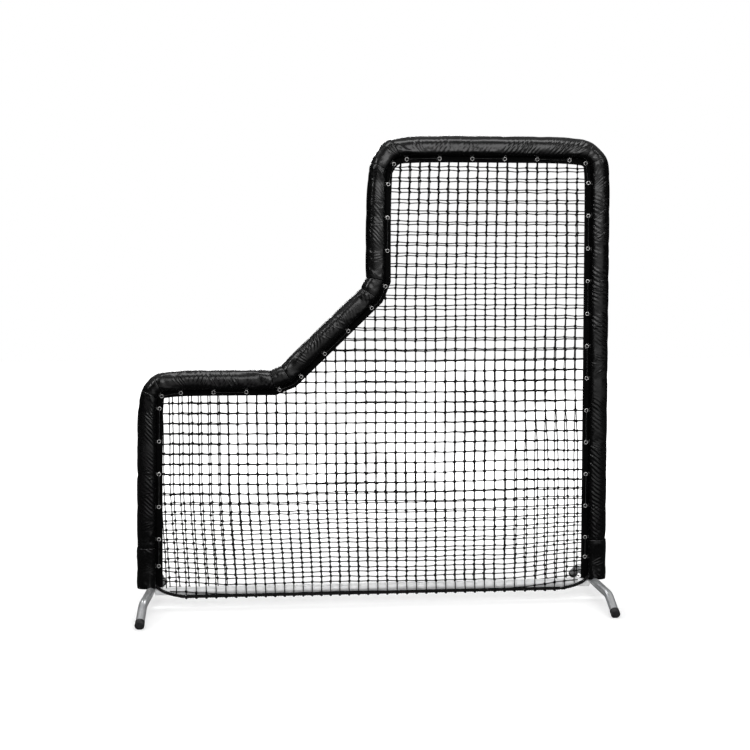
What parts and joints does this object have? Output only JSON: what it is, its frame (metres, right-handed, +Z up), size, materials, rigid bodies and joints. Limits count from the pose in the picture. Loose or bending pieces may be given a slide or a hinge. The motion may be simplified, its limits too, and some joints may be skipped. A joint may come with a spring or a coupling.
{
  "type": "baseball l screen",
  "caption": "Free-standing L-shaped pitching screen: padded, laced tube frame with a notch, a double knotted net and bowed feet.",
  "frame": {"origin": "on the floor, in the middle of the screen's width and of its feet", "axes": "+X across the screen, towards its high side; +Y from front to back, through the net; +Z up"},
  "size_m": [2.2118, 0.857, 2.1709],
  "materials": {
    "vinyl": "glossy vinyl-coated cloth",
    "foam": "closed-cell foam",
    "netting": "knotted twine",
    "border_rope": "twisted rope",
    "lacing": "braided cord",
    "rubber_cap": "matte",
    "nickel_button": "plated",
    "spring_steel": "bare spring steel",
    "galvanised_tube": "galvanised"
  },
  "bodies": {
    "screen": {"back_border_rope": "border_rope", "back_net_left": "netting", "back_net_middle": "netting", "back_net_right": "netting", "bottom_rail": "galvanised_tube", "cover_left": "vinyl", "cover_left_boot": "vinyl", "cover_low_corner": "vinyl", "cover_low_top": "vinyl", "cover_notch": "vinyl", "cover_notch_high": "vinyl", "cover_notch_low": "vinyl", "cover_right": "vinyl", "cover_right_boot": "vinyl", "cover_top": "vinyl", "cover_top_left": "vinyl", "cover_top_right": "vinyl", "cover_upper_left": "vinyl", "foam_left": "foam", "foam_low_top": "foam", "foam_notch": "foam", "foam_right": "foam", "foam_top": "foam", "foam_upper_left": "foam", "front_border_rope": "border_rope", "front_net_left": "netting", "front_net_middle": "netting", "front_net_right": "netting", "high_side_tube": "galvanised_tube", "lacing_cord": "lacing", "left_foot_tee": "galvanised_tube", "left_front_cap": "rubber_cap", "left_front_leg": "galvanised_tube", "left_front_spring": "spring_steel", "left_rail_stub": "galvanised_tube", "left_rear_cap": "rubber_cap", "left_rear_leg": "galvanised_tube", "left_rear_spring": "spring_steel", "left_upright_stub": "galvanised_tube", "low_side_tube": "galvanised_tube", "notch_tube": "galvanised_tube", "right_foot_tee": "galvanised_tube", "right_front_cap": "rubber_cap", "right_front_leg": "galvanised_tube", "right_front_spring": "spring_steel", "right_rail_stub": "galvanised_tube", "right_rear_cap": "rubber_cap", "right_rear_leg": "galvanised_tube", "right_rear_spring": "spring_steel", "right_upright_stub": "galvanised_tube", "top_left_tube": "galvanised_tube", "top_right_tube": "galvanised_tube"},
    "left_front_button": {"left_front_button": "nickel_button"},
    "left_rear_button": {"left_rear_button": "nickel_button"},
    "right_front_button": {"right_front_button": "nickel_button"},
    "right_rear_button": {"right_rear_button": "nickel_button"}
  },
  "joints": [
    {"name": "left_front_button_press", "type": "slide", "parent": "screen", "child": "left_front_button", "axis": [0, 0, -1], "range_m": [0, 0.005], "stiffness_N_per_m": 800, "springref_m": -0.004, "deforming": ["left_front_spring"]},
    {"name": "left_rear_button_press", "type": "slide", "parent": "screen", "child": "left_rear_button", "axis": [0, 0, -1], "range_m": [0, 0.005], "stiffness_N_per_m": 800, "springref_m": -0.004, "deforming": ["left_rear_spring"]},
    {"name": "right_front_button_press", "type": "slide", "parent": "screen", "child": "right_front_button", "axis": [0, 0, -1], "range_m": [0, 0.005], "stiffness_N_per_m": 800, "springref_m": -0.004, "deforming": ["right_front_spring"]},
    {"name": "right_rear_button_press", "type": "slide", "parent": "screen", "child": "right_rear_button", "axis": [0, 0, -1], "range_m": [0, 0.005], "stiffness_N_per_m": 800, "springref_m": -0.004, "deforming": ["right_rear_spring"]}
  ]
}
